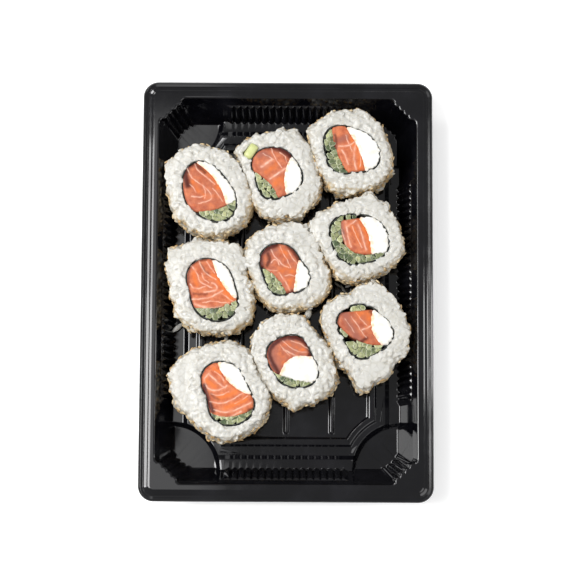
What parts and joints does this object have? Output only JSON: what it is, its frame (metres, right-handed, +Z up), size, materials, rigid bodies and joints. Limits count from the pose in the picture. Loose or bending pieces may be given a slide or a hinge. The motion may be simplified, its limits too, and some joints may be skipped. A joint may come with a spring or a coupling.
{
  "type": "takeaway sushi tray",
  "caption": "Takeaway meal of inside-out salmon rolls with cream cheese and cucumber, cut into pieces that stand in a shallow black tray with corner feet and a wide rim.",
  "frame": {"origin": "on the table, under the middle of the tray", "axes": "+Z up, the tray's length along Y with its empty end (the front) towards -Y, +X to the right"},
  "size_m": [0.1506, 0.218, 0.0312],
  "materials": {
    "tray": "glossy black thermoformed sheet",
    "rice": "moist cooked rice with tan sesame on its side",
    "nori": "moist dark seaweed",
    "salmon": "moist raw salmon with pale fat lines",
    "cream_cheese": "smooth, slightly moist",
    "cucumber": "moist cut sticks",
    "green_filling": "moist"
  },
  "bodies": {
    "root": {"cheese_a": "cream_cheese", "cheese_b": "cream_cheese", "cheese_c": "cream_cheese", "cheese_d": "cream_cheese", "cheese_e": "cream_cheese", "cheese_f": "cream_cheese", "cheese_g": "cream_cheese", "cheese_h": "cream_cheese", "cheese_i": "cream_cheese", "cucumber_a": "cucumber", "cucumber_b": "cucumber", "cucumber_c": "cucumber", "cucumber_d": "cucumber", "cucumber_e": "cucumber", "cucumber_f": "cucumber", "cucumber_g": "cucumber", "cucumber_h": "cucumber", "cucumber_i": "cucumber", "cucumber_top_f": "cucumber", "cucumber_top_i": "cucumber", "green_piece_b": "green_filling", "nori_a": "nori", "nori_b": "nori", "nori_c": "nori", "nori_d": "nori", "nori_e": "nori", "nori_f": "nori", "nori_g": "nori", "nori_h": "nori", "nori_i": "nori", "rice_a": "rice", "rice_b": "rice", "rice_c": "rice", "rice_d": "rice", "rice_e": "rice", "rice_f": "rice", "rice_g": "rice", "rice_h": "rice", "rice_i": "rice", "salmon_a": "salmon", "salmon_b": "salmon", "salmon_c": "salmon", "salmon_d": "salmon", "salmon_e": "salmon", "salmon_f": "salmon", "salmon_g": "salmon", "salmon_h": "salmon", "salmon_i": "salmon", "tray": "tray"}
  },
  "joints": []
}
